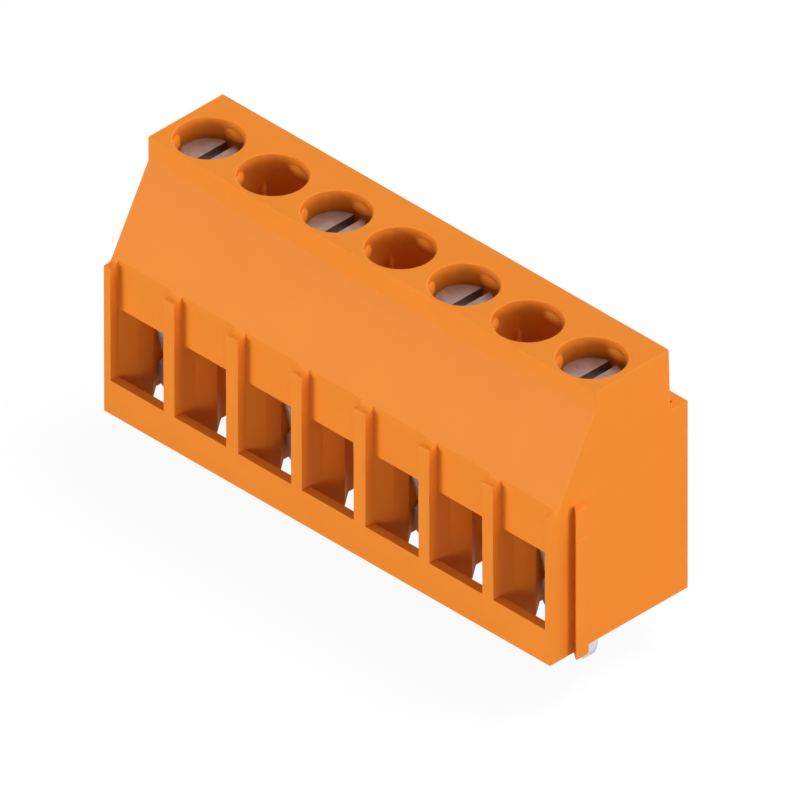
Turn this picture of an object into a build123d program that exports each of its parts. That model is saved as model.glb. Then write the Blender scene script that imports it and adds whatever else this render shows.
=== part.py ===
"""PCB terminal block, seven positions at 5.08 mm, four of them fitted with a screw clamp.

Three moulded housing modules slide together on dovetails. Each fitted position holds a clamp cage bent
from tinned sheet, whose end is the solder pin, a slotted screw in the cage's tapped collar, and a pressure
plate that swivels on the screw's tip and presses the wire on the cage's floor.

Millimetres. The origin is the axis of the first solder pin at the surface of the board. X runs along the
row, the wires come in from -Y, and Z is up. Every size that starts "from the front" is measured back from
the housing's front face.
"""

from build123d import *
import os
from math import atan, radians, sqrt, tan

# The row
pitch = 5.08
module_positions = (2, 2, 3)
fitted_step = 2

# Outside of the housing, seen from its end
pin_from_front = 5.53
housing_depth = 11.0
housing_height = 17.1
step_height = 12.85
top_from_front = 3.53
brow_height = 15.47
top_rear_from_front = 9.48
rear_draft = 0.12

# Front: the sill, the panel over the wire opening, and the ribs between
sill_height = 2.32
sill_thickness = 0.65
panel_recess = 0.66
panel_top = 10.31
opening_top = 6.96
rib_height = 10.0
rib_root_radius = 0.4
rib_edge_radius = 0.1
fillet_share = 0.9
mouth_left = 0.52
mouth_right = 0.34
mouth_end = 0.43

# Wire chamber: funnel, throat and the pocket for the cage
divider_half = 0.17
end_wall = 0.43
throat_inset = 1.0
throat_from_front = 2.98
throat_exit_angle = 36.5
guide_from_front = 1.68
end_guide_from_front = 0.68
end_guide_end_from_front = 1.75
rail_length = 1.8
rail_top_gap = 0.6

# Screw hole, with bumps that keep the screw in, and ribs midway between them that centre its head
screw_from_front = 5.86
hole_radius = 2.08
bump_count = 3
bump_depth = 0.85
bump_half_width = 0.85
bump_crest_half_width = 0.45
bump_half_height = 0.42
bump_height = 0.33
centring_rib_depth = 1.87
centring_rib_width = 0.32
centring_rib_height = 0.2
centring_rib_sink = 0.1
centring_rib_point = 0.35

# Pockets in the rear step
rear_pocket_width = 3.88
rear_pocket_end_from_front = 10.31
rear_pocket_depth = 8.0

# Dovetail between modules
dovetail_from_front = 1.42
dovetail_end_from_front = 2.46
dovetail_undercut = 0.47
dovetail_height = 0.64
dovetail_top = 10.1
dovetail_lead_in = 0.07
dovetail_lead_in_length = 2.03
dovetail_clearance = 0.03

# Clamp cage, of bent sheet, and its solder pin
sheet = 0.5
cage_width = 3.64
cage_bottom = 0.2
cage_top = 8.0
cage_bend_radius = 0.65
cage_from_front = 3.5
cage_floor_from_front = 3.7
cage_end_from_front = 8.02
cage_clearance = 0.02
notch_bottom = 1.95
notch_corner_height = 2.1
notch_corner_from_front = 4.0
notch_top = 4.18
lead_in_width = 0.3
lead_in_length = 0.4
collar_radius = 1.75
collar_height = 1.2
seam_gap = 0.05
pin_width = 1.2
pin_length = 3.2
pin_point_length = 0.55
pin_point_inset = 0.13
pin_bend_radius = 0.2

# Screw
thread_radius = 1.25
thread_pitch = 0.45
thread_clearance = 0.05
head_radius = 1.78
head_height = 1.5
head_depth = 1.2
head_chamfer = 0.06
slot_width = 0.6
slot_depth = 0.8
spigot_radius = 0.75
rim_radius = 1.0
rim_thickness = 0.17

# Pressure plate
clamp_opening = 3.08
plate_thickness = 0.5
plate_web = 0.25
plate_side_clearance = 0.05
plate_flat_margin = 0.15
plate_lip_length = 0.6
plate_lip_angle = 30.0
swivel_clearance = 0.05
swivel_play = 0.03
closing_turns = 10

# Places worked out from the sizes
positions = sum(module_positions)
front = -pin_from_front
rear = front + housing_depth
screw_y = front + screw_from_front
cage_front = front + cage_from_front
cage_rear = front + cage_end_from_front
floor_top = cage_bottom + sheet
hole_bottom = cage_top - rail_top_gap / 2
head_top = housing_height - head_depth
head_bottom = head_top - head_height
plate_bottom = sill_height + clamp_opening
plate_top = plate_bottom + plate_thickness
shank_end = plate_top + swivel_play
closing_travel = closing_turns * thread_pitch
beyond = 1.0


def position_x(index):
    """Middle of a position, counted from the left, where its pin and screw are."""
    return index * pitch


def prism_along_x(points, start, length):
    """Solid with the (y, z) outline given, from x = start."""
    outline = make_face(Polyline(*points, close=True))
    return extrude(Plane.YZ.offset(start) * outline, amount=length)


def prism_along_z(points, start, length):
    """Solid with the (x, y) outline given, from z = start."""
    outline = make_face(Polyline(*points, close=True))
    return extrude(Plane.XY.offset(start) * outline, amount=length)


def block(x_range, y_range, z_range):
    """Box between three pairs of limits."""
    sizes = [high - low for low, high in (x_range, y_range, z_range)]
    corner = Pos(x_range[0], y_range[0], z_range[0])
    return corner * Box(*sizes, align=(Align.MIN, Align.MIN, Align.MIN))


def module_body(left, length):
    """The module's outside, as an extruded side view, before anything is cut from it.

    A rib's flat top runs back to the slope. Where it would be too short to round, the slope starts at its
    back and leads up to the panel's top edge.
    """
    slope = (brow_height - panel_top) / (top_from_front - panel_recess)
    to_slope = panel_recess - (panel_top - rib_height) / slope
    rib_back = max(to_slope, 2 * rib_edge_radius)
    rib_edge = (front, rib_height)
    rib_root = (front + rib_back, rib_height)
    points = [(front, 0), rib_edge, rib_root]
    if rib_back > to_slope:
        points.append((front + panel_recess, panel_top))
        slope = (panel_top - rib_height) / (panel_recess - rib_back)
    points += [
        (front + top_from_front, brow_height),
        (front + top_from_front, housing_height),
        (front + top_rear_from_front, housing_height),
        (front + top_rear_from_front + rear_draft, step_height),
        (rear, step_height),
        (rear, 0),
    ]
    outline = make_face(Polyline(*points, close=True))
    edge_corner = outline.vertices().sort_by_distance(Vector(*rib_edge, 0))[0]
    outline = fillet(edge_corner, rib_edge_radius)
    room = fillet_share * (rib_back - rib_edge_radius) / tan(atan(slope) / 2)
    root_corner = outline.vertices().sort_by_distance(Vector(*rib_root, 0))[0]
    outline = fillet(root_corner, min(rib_root_radius, room))
    return extrude(Plane.YZ.offset(left) * outline, amount=length)


def chamber_side(mouth, wall, guide_start, guide_end):
    """One side of a chamber in plan: (inset from the position's edge, distance from the front) pairs."""
    wall_start = throat_from_front + (throat_inset - wall) / tan(radians(throat_exit_angle))
    return [
        (mouth, sill_thickness),
        (mouth, guide_start),
        (throat_inset, guide_end),
        (throat_inset, throat_from_front),
        (wall, wall_start),
        (wall, cage_end_from_front + cage_clearance),
    ]


def chamber(index, first, last):
    """Space behind one wire opening: the funnel, and the pocket that the cage goes into from below."""
    left_edge = position_x(index) - pitch / 2
    right_edge = left_edge + pitch
    left_wall = end_wall if first else divider_half
    right_wall = end_wall if last else divider_half
    if first:
        left_side = chamber_side(mouth_left, left_wall, end_guide_from_front, end_guide_end_from_front)
    else:
        left_side = chamber_side(mouth_left, left_wall, guide_from_front, throat_from_front)
    right_mouth = mouth_end if last else mouth_right
    right_side = chamber_side(right_mouth, right_wall, guide_from_front, throat_from_front)
    points = [(left_edge + inset, front + y) for inset, y in left_side]
    points += [(right_edge - inset, front + y) for inset, y in reversed(right_side)]
    plan = [point for at, point in enumerate(points) if point != points[at - 1]]
    funnel = prism_along_z(plan, -beyond, opening_top + beyond)
    pocket = block(
        (left_edge + left_wall, right_edge - right_wall),
        (cage_front - cage_clearance, cage_rear + cage_clearance),
        (opening_top - beyond, cage_top),
    )
    return funnel + pocket


def cage_rails(index):
    """Upright rails on both side walls of a pocket, which hold the cage in the middle."""
    middle = position_x(index)
    inner = cage_width / 2 + cage_clearance
    y_range = (screw_y - rail_length / 2, screw_y + rail_length / 2)
    z_range = (floor_top, cage_top - rail_top_gap)
    reach = pitch / 2 - divider_half / 2
    left = block((middle - reach, middle - inner), y_range, z_range)
    right = block((middle + inner, middle + reach), y_range, z_range)
    return left + right


def panel_recess_cut(index, last):
    """Shallow recess between two ribs, above the sill."""
    left_edge = position_x(index) - pitch / 2
    right_mouth = mouth_end if last else mouth_right
    return block(
        (left_edge + mouth_left, left_edge + pitch - right_mouth),
        (front - beyond, front + panel_recess),
        (sill_height, brow_height),
    )


def retaining_bump():
    """Half-round bar across the rear of a screw hole, level, with its ends sloping into the wall."""
    centre = hole_radius + bump_half_height - bump_height
    wall = sqrt(hole_radius**2 - bump_half_width**2) - centre
    plan = [
        (-bump_crest_half_width, -bump_half_height),
        (bump_crest_half_width, -bump_half_height),
        (bump_half_width, wall),
        (bump_half_width, bump_half_height),
        (-bump_half_width, bump_half_height),
        (-bump_half_width, wall),
    ]
    bar = Rot(0, 90, 0) * Cylinder(bump_half_height, 2 * bump_half_width)
    kept = prism_along_z(plan, -bump_half_height, 2 * bump_half_height)
    return Pos(0, centre, housing_height - bump_depth) * (bar & kept)


def centring_rib():
    """Upright three-sided rib at the rear of a screw hole, its top cut back to a point."""
    crest = hole_radius - centring_rib_height
    root = hole_radius + centring_rib_sink
    root_half = centring_rib_width / 2 * (root - crest) / centring_rib_height
    top = housing_height - centring_rib_depth
    rise = centring_rib_point / centring_rib_height
    root_top = top + rise * centring_rib_sink
    section = [(0, crest), (root_half, root), (-root_half, root)]
    rib = prism_along_z(section, hole_bottom, root_top - hole_bottom)
    cut = [
        (crest - centring_rib_height, top - 2 * centring_rib_point),
        (root, root_top),
        (root, root_top + beyond),
        (crest - centring_rib_height, root_top + beyond),
    ]
    return rib - prism_along_x(cut, -root_half - beyond, 2 * (root_half + beyond))


def screw_hole(index):
    """What is taken out for a screw: the round hole, without its bumps and ribs."""
    hole = Pos(0, 0, hole_bottom) * Cylinder(
        hole_radius,
        housing_height + beyond - hole_bottom,
        align=(Align.CENTER, Align.CENTER, Align.MIN),
    )
    step = 360 / bump_count
    left_in = []
    for number in range(bump_count):
        left_in.append(Rot(0, 0, step * number) * retaining_bump())
        left_in.append(Rot(0, 0, step * (number + 0.5)) * centring_rib())
    return Pos(position_x(index), screw_y) * (hole - left_in)


def rear_pocket(index):
    """Pocket cored into the rear step behind one position."""
    middle = position_x(index)
    return block(
        (middle - rear_pocket_width / 2, middle + rear_pocket_width / 2),
        (front + top_rear_from_front + rear_draft, front + rear_pocket_end_from_front),
        (step_height - rear_pocket_depth, step_height + beyond),
    )


def dovetail(side, clearance):
    """Half dovetail, undercut on its front side, that stands on the plane x = side."""
    face = front + dovetail_from_front - clearance
    back = front + dovetail_end_from_front + clearance
    root = face + dovetail_undercut
    tip = side + dovetail_height + clearance
    section = [(side, root), (tip, face), (tip, back), (side, back)]
    return prism_along_z(section, 0, dovetail_top + clearance)


def dovetail_rib(side):
    """Dovetail rib on a module's right end, a little lower over its top stretch to lead it in."""
    rib = dovetail(side, 0)
    lead_in_start = dovetail_top - dovetail_lead_in_length
    y_range = (front, front + dovetail_end_from_front + beyond)
    outer = (side + dovetail_height - dovetail_lead_in, side + dovetail_height + beyond)
    return rib - block(outer, y_range, (lead_in_start, dovetail_top + beyond))


def housing_module(first_position, count):
    """One moulding: body, panels, chambers, screw holes, rear pockets and its two dovetail halves."""
    left = position_x(first_position) - pitch / 2
    length = count * pitch
    cuts = [dovetail(left, dovetail_clearance)]
    for index in range(first_position, first_position + count):
        first = index == first_position
        last = index == first_position + count - 1
        cuts += [
            panel_recess_cut(index, last),
            chamber(index, first, last) - cage_rails(index),
            screw_hole(index),
            rear_pocket(index),
        ]
    return module_body(left, length) + dovetail_rib(left + length) - cuts


def cage_box():
    """The cage's sheet: a loop round the wire's way, with its front edge stepped and notched."""
    height = cage_top - cage_bottom
    length = cage_rear - cage_front
    middle = Pos(0, cage_bottom + height / 2)
    outer = middle * RectangleRounded(cage_width, height, cage_bend_radius)
    inner = middle * RectangleRounded(
        cage_width - 2 * sheet, height - 2 * sheet, cage_bend_radius - sheet
    )
    loop = extrude(Plane.XZ.offset(-cage_front) * (outer - inner), amount=-length)
    notch = [
        (cage_front - beyond, cage_bottom - beyond),
        (front + cage_floor_from_front, cage_bottom - beyond),
        (front + cage_floor_from_front, notch_bottom),
        (front + notch_corner_from_front, notch_corner_height),
        (cage_front, notch_top),
        (cage_front - beyond, notch_top),
    ]
    return loop - prism_along_x(notch, -cage_width, 2 * cage_width)


def cage_lead_in():
    """Wedge that bevels the inner front edges of the cage's side walls."""
    inner = cage_width / 2 - sheet
    mouth = [
        (-inner - lead_in_width, cage_front),
        (inner + lead_in_width, cage_front),
        (inner, cage_front + lead_in_length),
        (-inner, cage_front + lead_in_length),
    ]
    return prism_along_z(mouth, floor_top, cage_top - sheet - floor_top)


def pin_outline(width):
    """The pin seen from one side, as (across, z) points: a straight shank with a tapered point."""
    half = width / 2
    tip_half = half - pin_point_inset
    taper_top = pin_point_length - pin_length
    return [
        (-half, floor_top),
        (-half, taper_top),
        (-tip_half, -pin_length),
        (tip_half, -pin_length),
        (half, taper_top),
        (half, floor_top),
    ]


def solder_pin():
    """The strip's end, bent down through the open underside of the housing, with a tapered point."""
    broad_side = prism_along_x(pin_outline(pin_width), -sheet / 2, sheet)
    narrow_side = prism_along_x(pin_outline(sheet), -pin_width / 2, pin_width)
    pin = broad_side & (Rot(0, 0, 90) * narrow_side)
    bend_foot = (-sheet / 2, cage_bottom - pin_bend_radius)
    bend_end = (-sheet / 2 - pin_bend_radius, cage_bottom)
    bend_outline = Line(bend_end, (-sheet / 2, cage_bottom)) + Line((-sheet / 2, cage_bottom), bend_foot)
    bend_outline += RadiusArc(bend_foot, bend_end, pin_bend_radius)
    bend = extrude(Plane.XZ.offset(-pin_width / 2) * make_face(bend_outline), amount=pin_width)
    return pin + bend


def clamp_cage():
    """Cage with its tapped collar, its solder pin and the seam where the strip's ends meet."""
    cage = cage_box() - cage_lead_in()
    upright = (Align.CENTER, Align.CENTER, Align.MIN)
    collar = Pos(0, screw_y, cage_top) * Cylinder(collar_radius, collar_height, align=upright)
    cage += collar
    bore = Pos(0, screw_y, cage_top - sheet - beyond) * Cylinder(
        thread_radius + thread_clearance, sheet + collar_height + 2 * beyond, align=upright
    )
    seam = block(
        (sheet / 2, sheet / 2 + seam_gap),
        (cage_front - beyond, cage_rear + beyond),
        (cage_bottom - beyond, floor_top + sheet / 2),
    )
    return cage - bore - seam + solder_pin()


def clamp_screw():
    """Slotted screw with a spigot at its tip, swaged to a rim that carries the pressure plate."""
    spigot_end = plate_top - plate_web - swivel_play
    rim_bottom = spigot_end - rim_thickness
    outline = [
        (0, rim_bottom),
        (rim_radius, rim_bottom),
        (rim_radius, spigot_end),
        (spigot_radius, spigot_end),
        (spigot_radius, shank_end),
        (thread_radius, shank_end),
        (thread_radius, head_bottom),
        (head_radius, head_bottom),
        (head_radius, head_top - head_chamfer),
        (head_radius - head_chamfer, head_top),
        (0, head_top),
    ]
    turned = revolve(Plane.XZ * make_face(Polyline(*outline, close=True)), Axis.Z)
    slot = block(
        (-slot_width / 2, slot_width / 2),
        (-head_radius - beyond, head_radius + beyond),
        (head_top - slot_depth, head_top + beyond),
    )
    return Pos(0, screw_y) * (turned - slot)


def pressure_plate():
    """Plate that swivels on the screw's tip, with both ends turned up to let a wire in."""
    width = cage_width - 2 * sheet - 2 * plate_side_clearance
    flat = thread_radius + plate_flat_margin
    half = flat + plate_lip_length
    rise = plate_lip_length * tan(radians(plate_lip_angle))
    outline = [
        (-half, plate_bottom + rise),
        (-flat, plate_bottom),
        (flat, plate_bottom),
        (half, plate_bottom + rise),
        (half, plate_top + rise),
        (flat, plate_top),
        (-flat, plate_top),
        (-half, plate_top + rise),
    ]
    plate = prism_along_x(outline, -width / 2, width)
    upright = (Align.CENTER, Align.CENTER, Align.MIN)
    hole = Pos(0, 0, plate_bottom - beyond) * Cylinder(
        spigot_radius + swivel_clearance, plate_thickness + 2 * beyond, align=upright
    )
    sink = Pos(0, 0, plate_bottom - beyond) * Cylinder(
        rim_radius + swivel_clearance, plate_thickness - plate_web + beyond, align=upright
    )
    return Pos(0, screw_y) * (plate - hole - sink)


def save(name, shape):
    """Write one piece as a STEP file named after it."""
    export_step(shape, f"parts/{name}.step")


os.makedirs("parts", exist_ok=True)

start = 0
for number, count in enumerate(module_positions, 1):
    save(f"housing_module_{number}", housing_module(start, count))
    start += count

clamp_parts = {
    "clamp_cage": clamp_cage(),
    "clamp_screw": clamp_screw(),
    "pressure_plate": pressure_plate(),
}
for number, index in enumerate(range(0, positions, fitted_step), 1):
    for name, shape in clamp_parts.items():
        save(f"{name}_{number}", Pos(position_x(index)) * shape)
    print(f"screw {number}: axis at x {position_x(index):.2f}, y {screw_y:.2f}")

print(f"pressure plate: slides down {closing_travel:.2f} mm in {closing_turns} turns of its screw")
print(f"housing: y {front:.2f} to {rear:.2f}, x {-pitch / 2:.2f} to {(positions - 0.5) * pitch:.2f}")
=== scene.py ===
"""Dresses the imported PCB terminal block: its finishes, its threads, its studio light and its camera.

Lengths written here are millimetres, and MM turns them into the frame's metres. Angles written here are
degrees. X runs along the row, the wires come in from -Y, and Z is up, as in the frame.
"""

from __future__ import annotations

import logging
import math
from dataclasses import dataclass
from enum import Enum
from typing import Any, Sequence

import bmesh
import bpy
import numpy as np
from mathutils import Matrix, Vector

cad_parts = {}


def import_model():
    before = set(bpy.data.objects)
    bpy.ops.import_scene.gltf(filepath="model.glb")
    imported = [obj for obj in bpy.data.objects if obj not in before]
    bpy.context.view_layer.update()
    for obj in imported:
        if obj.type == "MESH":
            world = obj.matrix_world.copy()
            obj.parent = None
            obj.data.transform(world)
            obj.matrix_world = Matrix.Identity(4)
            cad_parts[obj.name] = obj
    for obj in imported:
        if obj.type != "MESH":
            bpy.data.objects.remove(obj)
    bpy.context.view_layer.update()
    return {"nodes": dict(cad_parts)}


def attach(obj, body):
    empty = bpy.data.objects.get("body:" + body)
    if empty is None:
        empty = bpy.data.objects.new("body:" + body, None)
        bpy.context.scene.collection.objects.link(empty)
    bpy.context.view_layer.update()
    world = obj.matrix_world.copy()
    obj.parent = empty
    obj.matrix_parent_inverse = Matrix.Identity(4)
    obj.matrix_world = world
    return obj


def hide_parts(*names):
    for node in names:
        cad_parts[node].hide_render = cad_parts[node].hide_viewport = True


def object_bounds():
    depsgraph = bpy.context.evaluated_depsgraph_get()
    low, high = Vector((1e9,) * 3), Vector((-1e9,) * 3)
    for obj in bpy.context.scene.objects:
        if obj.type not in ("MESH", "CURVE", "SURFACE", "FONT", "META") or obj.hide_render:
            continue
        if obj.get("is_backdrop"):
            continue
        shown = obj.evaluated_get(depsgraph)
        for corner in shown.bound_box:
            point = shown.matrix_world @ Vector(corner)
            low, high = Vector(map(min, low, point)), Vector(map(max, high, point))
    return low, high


MM = 0.001
WHITE = "#FFFFFF"

# Corners of a new surface that lie closer than this are one, as at a pole or along a tube's seam.
MERGE_WITHIN = 1e-4
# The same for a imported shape, whose loose triangles bring their own corners.
WELD_WITHIN = 2e-4
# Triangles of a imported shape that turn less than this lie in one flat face.
PACKED_FLAT = 0.5
# The same once the holes are cut, where a lower limit keeps the fine facets of the bumps.
CARVED_FLAT = 0.3
# An edge whose ends are this close to a plane lies in it.
FLUSH_WITHIN = 1e-3
# A cutter reaches this far past what it cuts.
CUTTER_OVER = 1.0
# A small quarter round is drawn with this many points.
ROUND_POINTS = 5

log = logging.getLogger("terminal_block")


class Solid(Enum):
    """How a cutter changes the mesh that it is used on."""

    CUT = "DIFFERENCE"
    ADD = "UNION"


class Ray(Enum):
    """Ray kinds that see the white background instead of the light's own level."""

    CAMERA = "Is Camera Ray"
    GLOSSY = "Is Glossy Ray"
    TRANSMISSION = "Is Transmission Ray"


class Grain(Enum):
    """Which way a metal part's fine marks run."""

    ROLLED = "rolled"
    TURNED = "turned"


class Rim(Enum):
    """Which way a rim's quarter round leaves the wall below it, seen from the axis."""

    OUTWARDS = 1
    INWARDS = -1


def linear(code: str) -> tuple[float, float, float, float]:
    """Turns an sRGB hex code into linear red, green, blue and alpha.

    Args:
        code: Six hex digits, with or without a hash sign.

    Returns:
        The linear colour, with an alpha of 1.
    """
    digits = code.lstrip("#")
    channels = [int(digits[at : at + 2], 16) / 255 for at in (0, 2, 4)]
    values = [c / 12.92 if c <= 0.04045 else ((c + 0.055) / 1.055) ** 2.4 for c in channels]
    return values[0], values[1], values[2], 1.0


def add_node(
    tree: bpy.types.NodeTree,
    kind: str,
    values: dict[str | int, Any] | None = None,
    links: dict[str | int, bpy.types.NodeSocket] | None = None,
    **settings: Any,
) -> bpy.types.Node:
    """Adds one node with its settings, socket values and incoming links.

    Args:
        tree: The node tree that gets the node.
        kind: Blender's name of the node's type.
        values: Constant values, by the input socket's name or place.
        links: Output sockets to link in, by the input socket's name or place.
        settings: Properties of the node itself.

    Returns:
        The new node.
    """
    node = tree.nodes.new(kind)
    for name, value in settings.items():
        setattr(node, name, value)
    for name, value in (values or {}).items():
        node.inputs[name].default_value = value
    for name, socket in (links or {}).items():
        tree.links.new(socket, node.inputs[name])
    return node


def empty_material(name: str) -> tuple[bpy.types.Material, bpy.types.NodeTree]:
    """Makes a material with an empty node tree.

    Args:
        name: The material's name.

    Returns:
        The material and its node tree.
    """
    material = bpy.data.materials.new(name)
    material.use_nodes = True
    material.node_tree.nodes.clear()
    return material, material.node_tree


def object_place(tree: bpy.types.NodeTree) -> bpy.types.NodeSocket:
    """Returns the point's place on its object, in metres."""
    return add_node(tree, "ShaderNodeTexCoord").outputs["Object"]


def noise(
    tree: bpy.types.NodeTree, place: bpy.types.NodeSocket, size: float, detail: float
) -> bpy.types.NodeSocket:
    """Adds a noise pattern.

    Args:
        tree: The material's node tree.
        place: The point to read it at, in metres.
        size: The width of its coarsest spots, in mm.
        detail: How many finer octaves lie over them.

    Returns:
        Its value, from 0 to 1.
    """
    values = {"Scale": 1 / (size * MM), "Detail": detail}
    return add_node(tree, "ShaderNodeTexNoise", values, {"Vector": place}).outputs["Fac"]


def two_tone(
    tree: bpy.types.NodeTree, level: bpy.types.NodeSocket, low: str, high: str, edge: float
) -> bpy.types.NodeSocket:
    """Blends two colours by a pattern.

    Args:
        tree: The material's node tree.
        level: The pattern's value.
        low: The sRGB hex colour of its low places.
        high: The sRGB hex colour of its high places.
        edge: How far from 0 and 1 the blend begins and ends.

    Returns:
        The blended colour.
    """
    ramp = add_node(tree, "ShaderNodeValToRGB", links={"Fac": level})
    first, last = ramp.color_ramp.elements
    first.position, last.position = edge, 1 - edge
    first.color, last.color = linear(low), linear(high)
    return ramp.outputs["Color"]


def relief(
    tree: bpy.types.NodeTree,
    height: bpy.types.NodeSocket,
    depth: float,
    under: bpy.types.NodeSocket | None = None,
) -> bpy.types.NodeSocket:
    """Raises the surface by a pattern.

    Args:
        tree: The material's node tree.
        height: The pattern's value.
        depth: The height between its low and high places, in mm.
        under: A coarser relief that this one lies on.

    Returns:
        The new normal.
    """
    links = {"Height": height}
    if under is not None:
        links["Normal"] = under
    values = {"Strength": 1.0, "Distance": depth * MM}
    return add_node(tree, "ShaderNodeBump", values, links).outputs["Normal"]


@dataclass
class RowLayout:
    """Where the row's positions, modules and clamps stand. A clamp sits in every second position."""

    pitch: float = 5.08
    screw_y: float = 0.33
    module_positions: tuple[int, ...] = (2, 2, 3)
    fitted_step: int = 2

    def screw_x(self, position: int) -> float:
        """Returns the middle of a position, counted from 0 at the left."""
        return position * self.pitch

    def module_range(self, number: int) -> range:
        """Returns the positions of one module, counted from 1 at the left."""
        first = sum(self.module_positions[: number - 1])
        return range(first, first + self.module_positions[number - 1])

    def clamp_positions(self) -> range:
        """Returns the positions that hold a clamp."""
        return range(0, sum(self.module_positions), self.fitted_step)


@dataclass(frozen=True)
class MouldedPolyamide:
    """Unfilled polyamide, injection moulded in a spark-eroded tool: an even satin with a soft, weak sheen."""

    name: str = "moulded_polyamide_orange"
    colour: str = "#E8842A"
    deep_colour: str = "#E58228"
    tone_edge: float = 0.3
    roughness: float = 0.5
    ior: float = 1.45
    specular: float = 0.1
    flow_width: float = 3.5
    flow_octaves: float = 2.0
    sink_depth: float = 0.002
    grain: float = 0.1
    grain_octaves: float = 3.0
    grain_depth: float = 0.001

    def material(self) -> bpy.types.Material:
        """Builds the finish.

        An eroded tool leaves a grain of about 0.03 mm. It is drawn three times as coarse, so that it still
        shows. The slow wave under it is the faint sink of thick walls and the flow of the melt.

        Returns:
            The material.
        """
        material, tree = empty_material(self.name)
        place = object_place(tree)
        flow = noise(tree, place, self.flow_width, self.flow_octaves)
        sink = relief(tree, flow, self.sink_depth)
        grain = relief(tree, noise(tree, place, self.grain, self.grain_octaves), self.grain_depth, sink)
        shader = add_node(
            tree,
            "ShaderNodeBsdfPrincipled",
            {"Roughness": self.roughness, "IOR": self.ior, "Specular IOR Level": self.specular},
            {
                "Base Color": two_tone(tree, flow, self.deep_colour, self.colour, self.tone_edge),
                "Normal": grain,
            },
        )
        add_node(tree, "ShaderNodeOutputMaterial", links={"Surface": shader.outputs["BSDF"]})
        return material


@dataclass(frozen=True)
class PlatedMetal:
    """A plated part: the plating's colour, the fine marks of how it was made, and how both scatter light.

    Rolled strip has streaks that run round the bends, and turned steel has rings round each screw's axis.
    Both are about 0.02 mm apart on the real part. They are drawn five or six times as wide, as mark_width
    says, so that they still show.
    """

    name: str
    colour: str
    dull_colour: str
    roughness: float
    grain: Grain
    mark_width: float
    mark_depth: float = 0.0006
    mark_octaves: float = 2.0
    stretch: float = 8.0
    metallic: float = 1.0
    mottle: float = 0.6
    mottle_octaves: float = 3.0
    tone_edge: float = 0.3
    axis_step: float = RowLayout.pitch * RowLayout.fitted_step
    axis_y: float = RowLayout.screw_y

    def _marks(self, tree: bpy.types.NodeTree, place: bpy.types.NodeSocket) -> bpy.types.NodeSocket:
        """Finds the place that the marks are read at, which changes fast across them and hardly along them.

        On rolled strip, X and Z are squeezed. On turned steel, X wraps to the nearest screw's axis, and the
        place is the distance from that axis with the height.

        Args:
            tree: The material's node tree.
            place: The point on the object, in metres.

        Returns:
            The place for the marks' noise, in metres.
        """
        if self.grain is Grain.ROLLED:
            scale = (1 / self.stretch, 1.0, 1 / self.stretch)
            return add_node(tree, "ShaderNodeMapping", {"Scale": scale}, {"Vector": place}).outputs["Vector"]
        half_step = self.axis_step / 2 * MM
        split = add_node(tree, "ShaderNodeSeparateXYZ", links={"Vector": place})
        across = add_node(
            tree, "ShaderNodeMath", {1: half_step, 2: -half_step}, {0: split.outputs["X"]}, operation="WRAP"
        )
        back = add_node(
            tree, "ShaderNodeMath", {1: self.axis_y * MM}, {0: split.outputs["Y"]}, operation="SUBTRACT"
        )
        plan = add_node(tree, "ShaderNodeCombineXYZ", links={"X": across.outputs[0], "Y": back.outputs[0]})
        radius = add_node(
            tree, "ShaderNodeVectorMath", links={"Vector": plan.outputs[0]}, operation="LENGTH"
        )
        place_links = {"X": radius.outputs["Value"], "Z": split.outputs["Z"]}
        return add_node(tree, "ShaderNodeCombineXYZ", links=place_links).outputs[0]

    def material(self) -> bpy.types.Material:
        """Builds the finish from the marks, which raise the surface, and a mottle, which tints it.

        Returns:
            The material.
        """
        material, tree = empty_material(self.name)
        place = object_place(tree)
        marks = noise(tree, self._marks(tree, place), self.mark_width, self.mark_octaves)
        mottle = noise(tree, place, self.mottle, self.mottle_octaves)
        shader = add_node(
            tree,
            "ShaderNodeBsdfPrincipled",
            {"Metallic": self.metallic, "Roughness": self.roughness},
            {
                "Base Color": two_tone(tree, mottle, self.dull_colour, self.colour, self.tone_edge),
                "Normal": relief(tree, marks, self.mark_depth),
            },
        )
        add_node(tree, "ShaderNodeOutputMaterial", links={"Surface": shader.outputs["BSDF"]})
        return material


# Matt tin over bent bronze strip: a pale grey with no clear image in it. The plating's crystals scatter much
# of the light, so half of it is drawn as diffuse.
TINNED_SHEET = PlatedMetal(
    name="matt_tin_plated_bronze",
    colour="#DADCE0",
    dull_colour="#CCCFD4",
    roughness=0.5,
    grain=Grain.ROLLED,
    mark_width=0.12,
    metallic=0.5,
)
# Nickel over bent steel strip: a warm light grey, with the tightest gloss of the three.
PLATE_SHEET = PlatedMetal(
    name="nickel_plated_steel",
    colour="#C9C5BF",
    dull_colour="#B8B4AE",
    roughness=0.36,
    grain=Grain.ROLLED,
    mark_width=0.12,
)
# Zinc with a thin passive film over turned steel: a brownish grey, blotchy where the film is uneven.
SCREW_STEEL = PlatedMetal(
    name="zinc_plated_turned_steel",
    colour="#AE9B92",
    dull_colour="#998780",
    roughness=0.4,
    grain=Grain.TURNED,
    mark_width=0.1,
)


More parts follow.
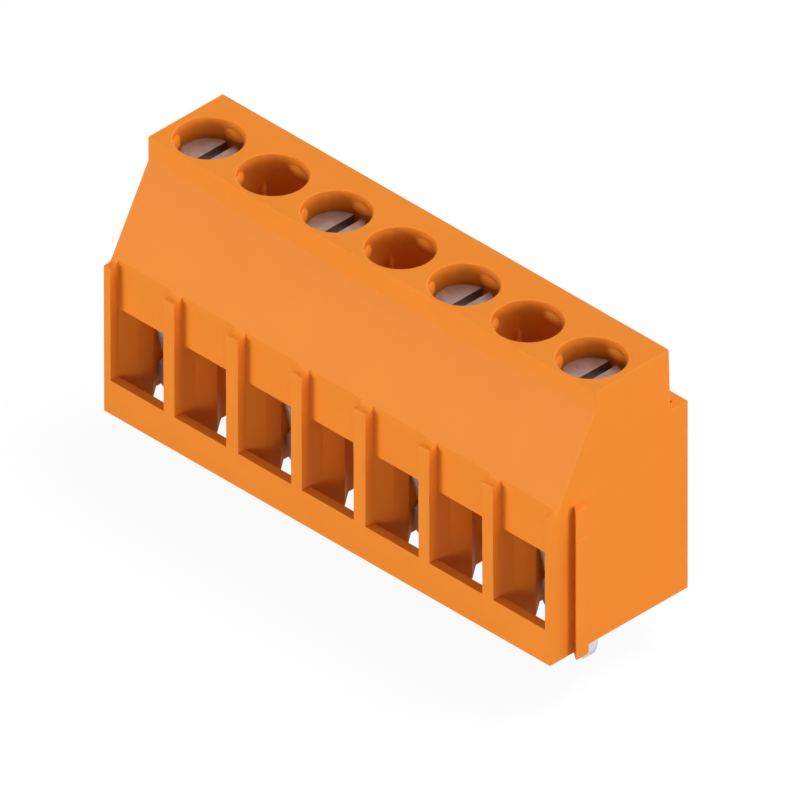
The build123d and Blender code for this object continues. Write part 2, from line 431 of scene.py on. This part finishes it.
@dataclass(frozen=True)
class Lamp:
    """A wide, far lamp: where it stands, how bright it makes a white surface that faces it, and its width.

    The width is the angle that the lamp fills, seen from the object. Its rays are parallel, so the distance
    only says where its symbol stands.
    """

    name: str
    towards: tuple[float, float, float]
    level: float
    width: float
    distance: float = 300.0

    def build(self) -> None:
        """Adds the lamp to the scene."""
        data = bpy.data.lights.new(self.name, "SUN")
        data.energy = self.level * math.pi
        data.angle = math.radians(self.width)
        lamp = bpy.data.objects.new(self.name, data)
        bpy.context.scene.collection.objects.link(lamp)
        direction = Vector(self.towards)
        lamp.rotation_euler = direction.to_track_quat("Z", "Y").to_euler()
        lamp.location = direction * self.distance * MM


@dataclass
class Studio:
    """A pale room that is brighter in front, wide lamps, and a white floor that keeps a faint shadow."""

    low: Vector
    room_colour: str = "#D6E8F2"
    room_level: float = 0.3
    front_level: float = 0.14
    floor_bounce: str = "#A6A6A6"
    floor_glow: float = 0.93
    floor_reach: float = 1500.0
    floor_gap: float = 0.02
    lamps: tuple[Lamp, ...] = (
        Lamp("key_lamp", (-0.5, -0.86, 0.02), 1.24, 30.0),
        Lamp("fill_lamp", (0.72, -0.68, 0.0), 0.36, 34.0),
        Lamp("side_lamp", (0.99, 0.02, 0.0), 0.9, 24.0),
        Lamp("top_lamp", (0.25, 0.38, 0.9), 0.69, 36.0),
        Lamp("back_lamp", (-0.25, 0.97, 0.03), 0.7, 30.0),
    )

    def build(self) -> None:
        """Makes the world, the lamps and the floor."""
        self._world()
        for lamp in self.lamps:
            lamp.build()
        self._floor()

    def _seen_white(self, tree: bpy.types.NodeTree) -> bpy.types.NodeSocket:
        """Adds a test for the rays that see the white background.

        Args:
            tree: The world's or the floor's node tree.

        Returns:
            A socket that is 1 for camera, glossy and transmission rays, and 0 for the rest.
        """
        path = add_node(tree, "ShaderNodeLightPath")
        seen = path.outputs[Ray.CAMERA.value]
        for kind in (Ray.GLOSSY, Ray.TRANSMISSION):
            either = {0: seen, 1: path.outputs[kind.value]}
            seen = add_node(tree, "ShaderNodeMath", links=either, operation="MAXIMUM").outputs["Value"]
        return seen

    def _world(self) -> None:
        """Lights the object from all round, more from the front, and shows white behind it and in its gloss.

        The light from a direction is the room's level plus the front's level times how far it points to -Y.
        """
        world = bpy.data.worlds.new("pale_room")
        bpy.context.scene.world = world
        world.use_nodes = True
        tree = world.node_tree
        tree.nodes.clear()
        direction = add_node(tree, "ShaderNodeTexCoord").outputs["Generated"]
        split = add_node(tree, "ShaderNodeSeparateXYZ", links={"Vector": direction})
        ahead = add_node(
            tree, "ShaderNodeMath", {1: -1.0}, {0: split.outputs["Y"]}, operation="MULTIPLY", use_clamp=True
        )
        level = add_node(
            tree,
            "ShaderNodeMath",
            {1: self.front_level, 2: self.room_level},
            {0: ahead.outputs["Value"]},
            operation="MULTIPLY_ADD",
        )
        light = add_node(
            tree,
            "ShaderNodeBackground",
            {"Color": linear(self.room_colour)},
            {"Strength": level.outputs["Value"]},
        )
        white = add_node(tree, "ShaderNodeBackground", {"Color": linear(WHITE), "Strength": 1.0})
        choices = {"Fac": self._seen_white(tree), 1: light.outputs[0], 2: white.outputs[0]}
        choose = add_node(tree, "ShaderNodeMixShader", links=choices)
        add_node(tree, "ShaderNodeOutputWorld", links={"Surface": choose.outputs[0]})

    def _floor(self) -> None:
        """Lays the floor just under the solder pins' points.

        The camera sees a glowing white, mixed with a little lit paper that takes the object's shadow. Other
        rays meet a grey that keeps the light thrown back up weak.
        """
        reach = self.floor_reach * MM
        height = self.low.z - self.floor_gap * MM
        mesh = bpy.data.meshes.new("floor")
        plan = [(-reach, -reach), (reach, -reach), (reach, reach), (-reach, reach)]
        mesh.from_pydata([(x, y, height) for x, y in plan], [], [(0, 1, 2, 3)])
        floor = bpy.data.objects.new("floor", mesh)
        bpy.context.scene.collection.objects.link(floor)
        material, tree = empty_material("pale_paper_sweep")
        bounce = add_node(tree, "ShaderNodeBsdfDiffuse", {"Color": linear(self.floor_bounce)})
        paper = add_node(tree, "ShaderNodeBsdfDiffuse", {"Color": linear(WHITE)})
        glow = add_node(tree, "ShaderNodeEmission", {"Color": linear(WHITE), "Strength": 1.0})
        layers = {1: paper.outputs[0], 2: glow.outputs[0]}
        seen = add_node(tree, "ShaderNodeMixShader", {"Fac": self.floor_glow}, layers)
        choices = {"Fac": self._seen_white(tree), 1: bounce.outputs[0], 2: seen.outputs[0]}
        choose = add_node(tree, "ShaderNodeMixShader", links=choices)
        add_node(tree, "ShaderNodeOutputMaterial", links={"Surface": choose.outputs[0]})
        mesh.materials.append(material)
        floor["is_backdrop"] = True


@dataclass
class PhotoCamera:
    """Camera without perspective, at the photograph's angle and framing."""

    azimuth: float = 45.0
    elevation: float = 35.0
    centre: tuple[float, float, float] = (15.24, 0.295, 6.647)
    width_seen: float = 45.073
    distance: float = 300.0
    nearest: float = 1.0
    farthest: float = 10000.0

    def build(self) -> None:
        """Makes the camera and gives it to the scene."""
        turn, rise = math.radians(self.azimuth), math.radians(self.elevation)
        towards = Vector(
            (math.sin(turn) * math.cos(rise), -math.cos(turn) * math.cos(rise), math.sin(rise))
        )
        data = bpy.data.cameras.new("photo_camera")
        data.type = "ORTHO"
        data.ortho_scale = self.width_seen * MM
        data.clip_start = self.nearest * MM
        data.clip_end = self.farthest * MM
        camera = bpy.data.objects.new("photo_camera", data)
        bpy.context.scene.collection.objects.link(camera)
        camera.location = (Vector(self.centre) + towards * self.distance) * MM
        camera.rotation_euler = towards.to_track_quat("Z", "Y").to_euler()
        bpy.context.scene.camera = camera


def grid_mesh(name: str, points: np.ndarray) -> bpy.types.Mesh:
    """Joins a grid of points with four-sided faces, and merges the points that fall together.

    Point (i, j) makes a face with (i, j + 1), (i + 1, j + 1) and (i + 1, j). A tube's last column lies on its
    first, and a pole is a row of equal points, so the merge closes both.

    Args:
        name: The mesh's name.
        points: Array of rows x columns x 3, in mm.

    Returns:
        The closed mesh, its faces turned outwards.
    """
    rows, columns, _ = points.shape
    row, column = np.meshgrid(np.arange(rows - 1), np.arange(columns - 1), indexing="ij")
    corner = row * columns + column
    quads = np.stack((corner, corner + 1, corner + columns + 1, corner + columns), axis=-1).reshape(-1, 4)
    mesh = bpy.data.meshes.new(name)
    mesh.vertices.add(rows * columns)
    mesh.vertices.foreach_set("co", points.reshape(-1).astype(np.float32))
    mesh.loops.add(quads.size)
    mesh.loops.foreach_set("vertex_index", quads.reshape(-1).astype(np.int32))
    mesh.polygons.add(len(quads))
    mesh.polygons.foreach_set("loop_start", np.arange(0, quads.size, 4, dtype=np.int32))
    mesh.update(calc_edges=True)
    work = bmesh.new()
    work.from_mesh(mesh)
    bmesh.ops.remove_doubles(work, verts=work.verts, dist=MERGE_WITHIN)
    bmesh.ops.dissolve_degenerate(work, edges=work.edges, dist=MERGE_WITHIN)
    bmesh.ops.recalc_face_normals(work, faces=work.faces)
    work.to_mesh(mesh)
    work.free()
    return mesh


def full_turn(segments: int) -> np.ndarray:
    """Returns the angles of a full circle in radians, with its last angle on its first."""
    return np.linspace(0, 2 * math.pi, segments + 1)


def rings(profile: Sequence[Sequence[float]], turn: np.ndarray) -> np.ndarray:
    """Turns a profile round the Z axis: a point (r, z) becomes (r cos t, r sin t, z) for every angle t.

    Args:
        profile: Points (r, z) in mm, from the bottom up.
        turn: Angles in radians.

    Returns:
        Array of profile points x angles x 3.
    """
    radius, height = np.array(profile, float).T
    level = np.repeat(height[:, None], len(turn), axis=1)
    return np.stack((radius[:, None] * np.cos(turn), radius[:, None] * np.sin(turn), level), axis=-1)


def rim_round(radius: float, top: float, size: float, way: Rim) -> np.ndarray:
    """Works out a rim's quarter round: (r + e (1 - cos a), z - e (1 - sin a)), or r - e (1 - cos a) inwards.

    Args:
        radius: The wall's radius r, in mm.
        top: The height z of the face above it, in mm.
        size: The round's own radius e, in mm.
        way: Which way it leaves the wall.

    Returns:
        Array of points (radius, height), from the wall, where a is 0, up to the face, where a is 90 degrees.
    """
    angle = np.linspace(0, math.pi / 2, ROUND_POINTS)
    across = radius + way.value * size * (1 - np.cos(angle))
    return np.column_stack((across, top - size * (1 - np.sin(angle))))


def box_mesh(name: str, low: Sequence[float], high: Sequence[float]) -> bpy.types.Mesh:
    """Makes a closed box: its outline at both heights, with each outline's middle as a pole.

    Args:
        name: The mesh's name.
        low: The corner with the lowest x, y and z, in mm.
        high: The corner opposite, in mm.

    Returns:
        The box.
    """
    (west, south, bottom), (east, north, top) = low, high
    outline = np.array([[west, south], [east, south], [east, north], [west, north], [west, south]])
    middle = np.repeat(np.mean(outline[:-1], axis=0)[None], len(outline), axis=0)
    rows = [(middle, bottom), (outline, bottom), (outline, top), (middle, top)]
    points = np.stack([np.column_stack((plan, np.full(len(plan), height))) for plan, height in rows])
    return grid_mesh(name, points)


def moved(mesh: bpy.types.Mesh, matrix: Matrix) -> bpy.types.Mesh:
    """Moves a mesh's points by a matrix, and returns the mesh."""
    mesh.transform(matrix)
    return mesh


def joined(name: str, meshes: Sequence[bpy.types.Mesh]) -> bpy.types.Mesh:
    """Puts several closed shells in one mesh.

    Args:
        name: The new mesh's name.
        meshes: The shells, which are used up.

    Returns:
        The mesh that holds them all.
    """
    work = bmesh.new()
    for mesh in meshes:
        work.from_mesh(mesh)
        bpy.data.meshes.remove(mesh)
    whole = bpy.data.meshes.new(name)
    work.to_mesh(whole)
    work.free()
    return whole


def carved(body: bpy.types.Mesh, steps: Sequence[tuple[Solid, bpy.types.Mesh]]) -> bpy.types.Mesh:
    """Cuts closed meshes out of a body, or adds them to it, in the order given.

    Args:
        body: The closed mesh to work on, used up.
        steps: What to do with each cutter, used up too.

    Returns:
        The carved mesh.
    """
    collection = bpy.context.scene.collection
    work = bpy.data.objects.new("carving", body)
    collection.objects.link(work)
    helpers = []
    for how, mesh in steps:
        helper = bpy.data.objects.new("cutter", mesh)
        collection.objects.link(helper)
        helpers.append(helper)
        cut = work.modifiers.new(helper.name, "BOOLEAN")
        cut.operation = how.value
        cut.solver = "EXACT"
        cut.object = helper
    graph = bpy.context.evaluated_depsgraph_get()
    result = bpy.data.meshes.new_from_object(work.evaluated_get(graph))
    for used in (work, *helpers):
        mesh = used.data
        bpy.data.objects.remove(used)
        bpy.data.meshes.remove(mesh)
    return result


def node_mesh(node: bpy.types.Object) -> bpy.types.Mesh:
    """Copies a CAD node's mesh in mm, with its loose triangles merged into whole faces.

    Args:
        node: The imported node.

    Returns:
        The copy, closed, with flat faces made of one polygon each.
    """
    work = bmesh.new()
    work.from_mesh(node.data)
    bmesh.ops.scale(work, vec=(1 / MM,) * 3, verts=work.verts)
    bmesh.ops.remove_doubles(work, verts=work.verts, dist=WELD_WITHIN)
    bmesh.ops.dissolve_limit(
        work, angle_limit=math.radians(PACKED_FLAT), verts=work.verts, edges=work.edges
    )
    mesh = bpy.data.meshes.new(f"{node.name}_shape")
    work.to_mesh(mesh)
    work.free()
    return mesh


@dataclass(frozen=True)
class EdgeRound:
    """How far a piece's sharp outer edges are rounded, and which of its edges still show as lines.

    A profile of 0.5 makes the rounding a circle's arc. An edge counts as sharp where it turns by more than
    sharper_than. It also shows where it turns by more than crease, between two faces that are both larger
    than crease_area, in square mm.
    """

    width: float
    segments: int = 2
    sharper_than: float = 35.0
    shortest: float = 0.05
    profile: float = 0.5
    crease: float = 5.0
    crease_area: float = 0.8

    def apply(self, mesh: bpy.types.Mesh, flush_x: Sequence[float] = ()) -> None:
        """Rounds the mesh's outer edges and sets its smooth and sharp shading.

        Args:
            mesh: The mesh in mm, changed in place.
            flush_x: Planes of constant X where the piece meets its neighbour flush, so the edges there stay.
        """
        work = bmesh.new()
        work.from_mesh(mesh)
        bmesh.ops.remove_doubles(work, verts=work.verts, dist=WELD_WITHIN)
        bmesh.ops.dissolve_limit(
            work, angle_limit=math.radians(CARVED_FLAT), verts=work.verts, edges=work.edges
        )
        chosen = [edge for edge in work.edges if self._outer(edge) and not self._flush(edge, flush_x)]
        bmesh.ops.bevel(
            work,
            geom=chosen,
            offset=self.width,
            segments=self.segments,
            profile=self.profile,
            affect="EDGES",
            clamp_overlap=False,
            loop_slide=True,
        )
        for face in work.faces:
            face.smooth = True
        for edge in work.edges:
            edge.smooth = not (edge.is_manifold and self._sharp(edge))
        work.to_mesh(mesh)
        work.free()

    def _sharp(self, edge: bmesh.types.BMEdge) -> bool:
        """Says whether an edge shows as a line: it is sharp, or a slight crease between two wide flat faces.

        Args:
            edge: The edge, after the rounding.

        Returns:
            True where the shading breaks.
        """
        angle = edge.calc_face_angle(0.0)
        wide = min(face.calc_area() for face in edge.link_faces) > self.crease_area
        return angle > math.radians(self.sharper_than) or (wide and angle > math.radians(self.crease))

    def _outer(self, edge: bmesh.types.BMEdge) -> bool:
        """Says whether an edge is sharp, convex and long enough to round.

        Args:
            edge: The edge, before the rounding.

        Returns:
            True where the edge is rounded, unless it is flush with a neighbour.
        """
        if not edge.is_manifold or edge.calc_length() < self.shortest:
            return False
        return edge.is_convex and edge.calc_face_angle(0.0) > math.radians(self.sharper_than)

    def _flush(self, edge: bmesh.types.BMEdge, planes: Sequence[float]) -> bool:
        """Says whether an edge lies in a plane where two modules meet."""
        return any(all(abs(end.co.x - plane) < FLUSH_WITHIN for end in edge.verts) for plane in planes)


def place(
    name: str,
    mesh: bpy.types.Mesh,
    node: str,
    body: str,
    slot: str,
    material: bpy.types.Material,
) -> bpy.types.Object:
    """Puts a finished mesh in the scene in place of a CAD node.

    Args:
        name: The piece's name.
        mesh: Its mesh, in mm.
        node: The CAD node that it replaces.
        body: The body that it rides on.
        slot: A material slot's name, which is not used.
        material: Its finish.

    Returns:
        The piece.
    """
    mesh.transform(Matrix.Scale(MM, 4))
    mesh.name = name
    mesh.materials.clear()
    mesh.materials.append(material)
    piece = bpy.data.objects.new(name, mesh)
    bpy.context.scene.collection.objects.link(piece)
    shade = piece.modifiers.new("flat_face_shading", "WEIGHTED_NORMAL")
    shade.keep_sharp = True
    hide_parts(node)
    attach(piece, body)
    log.info("%s: %d faces, in place of %s", name, len(mesh.polygons), node)
    return piece


@dataclass
class HousingModule:
    """One moulding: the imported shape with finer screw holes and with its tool's small edge radii.

    Each screw hole is cut again as a smooth tube. Its three bumps are ellipsoids sunk in the wall, and
    the three ribs between them are round bars with cone tops. Depths are measured down from the top face.
    """

    number: int
    layout: RowLayout
    height: float = 17.1
    hole_radius: float = 2.083
    hole_bottom: float = 7.85
    hole_segments: int = 128
    rim_size: float = 0.05
    bump_depth: float = 0.85
    bump_centre: float = 2.17
    bump_half: tuple[float, float, float] = (0.95, 0.42, 0.43)
    bump_grid: tuple[int, int] = (33, 48)
    rib_depth: float = 1.87
    rib_radius: float = 0.18
    rib_point: float = 0.35
    rib_foot: float = 0.3
    rib_segments: int = 24
    features: int = 3
    edges: EdgeRound = EdgeRound(0.045)

    def _hole(self) -> bpy.types.Mesh:
        """Makes the hole's tube, which flares by a quarter round at the rim.

        Returns:
            The tube as a closed cutter round the Z axis, which reaches past the top face.
        """
        flare = rim_round(self.hole_radius, self.height, self.rim_size, Rim.OUTWARDS)
        over = self.height + CUTTER_OVER
        profile = [(0, self.hole_bottom), (self.hole_radius, self.hole_bottom), *flare]
        profile += [(self.hole_radius + self.rim_size, over), (0, over)]
        return grid_mesh("hole", rings(profile, full_turn(self.hole_segments)))

    def _bump(self, angle: float) -> bpy.types.Mesh:
        """Makes a bump: the ellipsoid (a sin u cos v, b sin u sin v, c cos u), set in the hole's wall.

        Args:
            angle: Its place round the hole, in radians from +Y.

        Returns:
            The bump, with the hole's axis at the origin.
        """
        rows, segments = self.bump_grid
        lean, turn = np.linspace(0, math.pi, rows)[:, None], full_turn(segments)
        half_width, half_depth, half_height = self.bump_half
        points = np.stack(
            (
                half_width * np.sin(lean) * np.cos(turn),
                half_depth * np.sin(lean) * np.sin(turn),
                half_height * np.cos(lean) * np.ones_like(turn),
            ),
            axis=-1,
        )
        seat = Matrix.Translation((0, self.bump_centre, self.height - self.bump_depth))
        return moved(grid_mesh("bump", points), Matrix.Rotation(angle, 4, "Z") @ seat)

    def _rib(self, angle: float) -> bpy.types.Mesh:
        """Makes a rib: a round bar up the wall that ends in a cone.

        Args:
            angle: Its place round the hole, in radians from +Y.

        Returns:
            The rib, with the hole's axis at the origin.
        """
        top = self.height - self.rib_depth
        bottom = self.hole_bottom + self.rib_foot
        profile = [(0, bottom), (self.rib_radius, bottom), (self.rib_radius, top - self.rib_point), (0, top)]
        bar = grid_mesh("rib", rings(profile, full_turn(self.rib_segments)))
        seat = Matrix.Translation((0, self.hole_radius, 0))
        return moved(bar, Matrix.Rotation(angle, 4, "Z") @ seat)

    def _flush_planes(self) -> list[float]:
        """Lists the planes of constant X where the module meets its neighbours.

        Returns:
            Their places, in mm.
        """
        own = self.layout.module_range(self.number)
        meetings = [end for end in (own.start, own.stop) if 0 < end < sum(self.layout.module_positions)]
        return [self.layout.screw_x(end) - self.layout.pitch / 2 for end in meetings]

    def build(self, node: bpy.types.Object, material: bpy.types.Material) -> bpy.types.Object:
        """Builds the module's mesh and puts it in place of its node.

        Args:
            node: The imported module.
            material: The moulding's finish.

        Returns:
            The dressed module.
        """
        step = 2 * math.pi / self.features
        holes, fillings = [], []
        for position in self.layout.module_range(self.number):
            to_axis = Matrix.Translation((self.layout.screw_x(position), self.layout.screw_y, 0))
            holes.append(moved(self._hole(), to_axis))
            for count in range(self.features):
                fillings.append(moved(self._bump(step * count), to_axis))
                fillings.append(moved(self._rib(step * (count + 0.5)), to_axis))
        steps = [(Solid.CUT, joined("holes", holes)), (Solid.ADD, joined("fillings", fillings))]
        mesh = carved(node_mesh(node), steps)
        self.edges.apply(mesh, self._flush_planes())
        return place(f"moulded_module_{self.number}", mesh, node.name, "housing", "orange_moulding", material)


@dataclass
class ClampScrew:
    """Turned screw: its head with the slot, a rolled M2.5 thread, and the swaged rim at its tip.

    A pair is a step across and a step up. The thread's root, crest and fade are shares of its pitch.
    """

    number: int
    layout: RowLayout
    head_top: float = 15.9
    head_bottom: float = 14.4
    head_radius: float = 1.78
    head_round: float = 0.06
    head_chamfer: float = 0.12
    head_middle: float = 1.068
    slot_width: float = 0.6
    slot_depth: float = 0.8
    neck_length: float = 0.35
    neck_step: tuple[float, float] = (0.05, 0.2)
    thread_radius: float = 1.25
    thread_depth: float = 0.244
    thread_pitch: float = 0.45
    thread_root: float = 0.25
    thread_crest: float = 0.125
    thread_fade: float = 0.5
    shank_end: float = 5.93
    lead_in: float = 0.2
    spigot_radius: float = 0.75
    spigot_end: float = 5.62
    rim_radius: float = 1.0
    rim_bottom: float = 5.45
    rim_chamfer: tuple[float, float] = (0.12, 0.08)
    rim_step: tuple[float, float] = (0.04, 0.03)
    segments: int = 96
    edges: EdgeRound = EdgeRound(0.03, sharper_than=50.0)

    def _thread(self, turn: np.ndarray) -> np.ndarray:
        """Works out the thread as a grid whose rows climb with the angle.

        A row at phase p of turn n lies at z = start + pitch (n + p + t / 2 pi), which is a right-hand helix.
        Its radius is the root's over the first quarter of a pitch, rises along a flank, stays at the crest
        for an eighth, and falls along the other flank. The flanks stand at about 60 degrees to each other.
        Heights are held between the two ends, and the depth fades out over the last half turn before each.

        Args:
            turn: The angles t of a full turn, in radians.

        Returns:
            Array of rows x angles x 3, in mm.
        """
        low, high = self.shank_end + self.lead_in, self.head_bottom - self.neck_length
        flank = (1 - self.thread_root - self.thread_crest) / 2
        phases = np.cumsum([0.0, self.thread_root, flank, self.thread_crest])
        crest = np.array([0.0, 0.0, 1.0, 1.0])
        turns = np.arange(-1, math.ceil((high - low) / self.thread_pitch) + 1)
        start = (turns[:, None] + phases).reshape(-1)
        height = low + self.thread_pitch * (start[:, None] + turn / (2 * math.pi))
        height = np.clip(height, low, high)
        ends = np.minimum(height - low, high - height) / (self.thread_fade * self.thread_pitch)
        raised = np.tile(crest, len(turns))[:, None] * np.clip(ends, 0, 1)
        radius = self.thread_radius - self.thread_depth * (1 - raised)
        return np.stack((radius * np.cos(turn), radius * np.sin(turn), height), axis=-1)

    def _tip(self) -> list[Sequence[float]]:
        """Lists the tip's profile: the swaged rim, the spigot above it, and the root up to the thread.

        Returns:
            Points (radius, height) in mm, from the middle of the rim's underside.
        """
        root = self.thread_radius - self.thread_depth
        chamfer_in, chamfer_up = self.rim_chamfer
        step_in, step_up = self.rim_step
        return [
            (0, self.rim_bottom),
            (self.rim_radius - chamfer_in, self.rim_bottom),
            (self.rim_radius, self.rim_bottom + chamfer_up),
            (self.rim_radius, self.spigot_end - step_up),
            (self.rim_radius - step_in, self.spigot_end),
            (self.spigot_radius, self.spigot_end),
            (self.spigot_radius, self.shank_end),
            (root, self.shank_end),
            (root, self.shank_end + self.lead_in),
        ]

    def _head(self) -> list[Sequence[float]]:
        """Lists the head's profile: the neck under it, its chamfered underside and its quarter-round rim.

        Returns:
            Points (radius, height) in mm, from the thread's end to the middle of the head's top.
        """
        step_in, step_up = self.neck_step
        return [
            (self.thread_radius - self.thread_depth, self.head_bottom - self.neck_length),
            (self.thread_radius - step_in, self.head_bottom - step_up),
            (self.thread_radius, self.head_bottom),
            (self.head_radius - self.head_chamfer, self.head_bottom),
            (self.head_radius, self.head_bottom + self.head_chamfer),
            *rim_round(self.head_radius, self.head_top, self.head_round, Rim.INWARDS),
            (self.head_middle, self.head_top),
            (0, self.head_top),
        ]

    def _mesh(self) -> bpy.types.Mesh:
        """Builds the screw: one grid from tip to head, with the slot cut along Y.

        Returns:
            The closed mesh, round the Z axis.
        """
        turn = full_turn(self.segments)
        grid = np.concatenate((rings(self._tip(), turn), self._thread(turn), rings(self._head(), turn)))
        reach = self.head_radius + CUTTER_OVER
        slot = box_mesh(
            "slot",
            (-self.slot_width / 2, -reach, self.head_top - self.slot_depth),
            (self.slot_width / 2, reach, self.head_top + CUTTER_OVER),
        )
        return carved(grid_mesh("screw", grid), [(Solid.CUT, slot)])

    def build(self, node: bpy.types.Object, material: bpy.types.Material) -> bpy.types.Object:
        """Builds the screw and puts it in place of its node.

        Args:
            node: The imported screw.
            material: The plating.

        Returns:
            The dressed screw.
        """
        mesh = self._mesh()
        self.edges.apply(mesh)
        position = self.layout.clamp_positions()[self.number - 1]
        moved(mesh, Matrix.Translation((self.layout.screw_x(position), self.layout.screw_y, 0)))
        name, body = f"slotted_screw_{self.number}", f"screw_{self.number}"
        return place(name, mesh, node.name, body, "screw_steel", material)


@dataclass
class SheetMetalPart:
    """A stamped part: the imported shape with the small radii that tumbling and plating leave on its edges."""

    name: str
    body: str
    slot: str
    edges: EdgeRound = EdgeRound(0.03, sharper_than=40.0)

    def build(self, node: bpy.types.Object, material: bpy.types.Material) -> bpy.types.Object:
        """Builds the part and puts it in place of its node.

        Args:
            node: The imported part.
            material: Its plating.

        Returns:
            The dressed part.
        """
        mesh = node_mesh(node)
        self.edges.apply(mesh)
        return place(self.name, mesh, node.name, self.body, self.slot, material)


def main(frame: dict[str, Any]) -> None:
    """Builds and dresses every piece, then sets the stage.

    Args:
        frame: The loaded frame.
    """
    low, _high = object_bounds()
    nodes = frame["nodes"]
    layout = RowLayout()
    moulding = MouldedPolyamide().material()
    tinned = TINNED_SHEET.material()
    plated = PLATE_SHEET.material()
    turned = SCREW_STEEL.material()
    for number in range(1, len(layout.module_positions) + 1):
        HousingModule(number, layout).build(nodes[f"housing_module_{number}"], moulding)
    for number in range(1, len(layout.clamp_positions()) + 1):
        cage = SheetMetalPart(f"clamp_cage_sheet_{number}", "housing", "tinned_sheet")
        cage.build(nodes[f"clamp_cage_{number}"], tinned)
        plate = SheetMetalPart(f"clamping_plate_{number}", f"plate_{number}", "plate_steel")
        plate.build(nodes[f"pressure_plate_{number}"], plated)
        ClampScrew(number, layout).build(nodes[f"clamp_screw_{number}"], turned)
    Studio(low).build()
    PhotoCamera().build()
    bpy.context.scene.view_settings.view_transform = "Standard"


if __name__ == "__main__":
    logging.basicConfig(level=logging.INFO, format="%(name)s: %(message)s")
    packed_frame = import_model()
    main(packed_frame)
